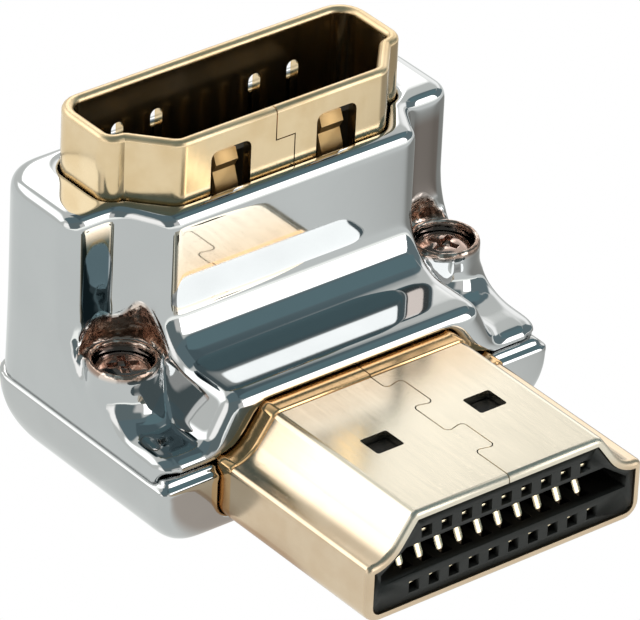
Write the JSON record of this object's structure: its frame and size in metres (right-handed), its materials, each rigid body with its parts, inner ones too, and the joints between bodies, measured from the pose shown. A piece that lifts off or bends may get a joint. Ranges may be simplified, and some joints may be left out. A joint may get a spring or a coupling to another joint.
{
  "type": "right-angle hdmi adapter",
  "caption": "Right-angle adapter with a flat D-shaped plug facing forward and a matching upright socket, in a two-piece plated die-cast body held by screws.",
  "frame": {"origin": "middle of the whole object's box, at the height of the base's underside", "axes": "+X across the connectors, -Y the way the plug points, +Z the way the socket points"},
  "size_m": [0.0198, 0.0212, 0.0148],
  "materials": {
    "upper_casting": "bright plated casting, polished",
    "lower_casting": "bright plated casting, polished",
    "screw_steel": "plated steel, softly worn",
    "board_laminate": "green laminate",
    "plug_sheet": "pale gold plated sheet",
    "plug_moulding": "dark moulded plastic",
    "socket_sheet": "pale gold plated sheet",
    "socket_moulding": "black moulded plastic",
    "plug_contacts": "gold plated strip",
    "socket_contacts": "gold plated strip"
  },
  "bodies": {
    "root": {"upper_housing": "upper_casting", "lower_cover": "lower_casting", "screw_left": "screw_steel", "screw_right": "screw_steel", "circuit_board": "board_laminate", "plug_shell": "plug_sheet", "plug_insulator": "plug_moulding", "socket_shell": "socket_sheet", "socket_insulator": "socket_moulding", "plug_contact_1": "plug_contacts", "plug_contact_2": "plug_contacts", "plug_contact_3": "plug_contacts", "plug_contact_4": "plug_contacts", "plug_contact_5": "plug_contacts", "plug_contact_6": "plug_contacts", "plug_contact_7": "plug_contacts", "plug_contact_8": "plug_contacts", "plug_contact_9": "plug_contacts", "plug_contact_10": "plug_contacts", "plug_contact_11": "plug_contacts", "plug_contact_12": "plug_contacts", "plug_contact_13": "plug_contacts", "plug_contact_14": "plug_contacts", "plug_contact_15": "plug_contacts", "plug_contact_16": "plug_contacts", "plug_contact_17": "plug_contacts", "plug_contact_18": "plug_contacts", "plug_contact_19": "plug_contacts", "socket_contact_1": "socket_contacts", "socket_contact_2": "socket_contacts", "socket_contact_3": "socket_contacts", "socket_contact_4": "socket_contacts", "socket_contact_5": "socket_contacts", "socket_contact_6": "socket_contacts", "socket_contact_7": "socket_contacts", "socket_contact_8": "socket_contacts", "socket_contact_9": "socket_contacts", "socket_contact_10": "socket_contacts", "socket_contact_11": "socket_contacts", "socket_contact_12": "socket_contacts", "socket_contact_13": "socket_contacts", "socket_contact_14": "socket_contacts", "socket_contact_15": "socket_contacts", "socket_contact_16": "socket_contacts", "socket_contact_17": "socket_contacts", "socket_contact_18": "socket_contacts", "socket_contact_19": "socket_contacts"}
  },
  "joints": []
}
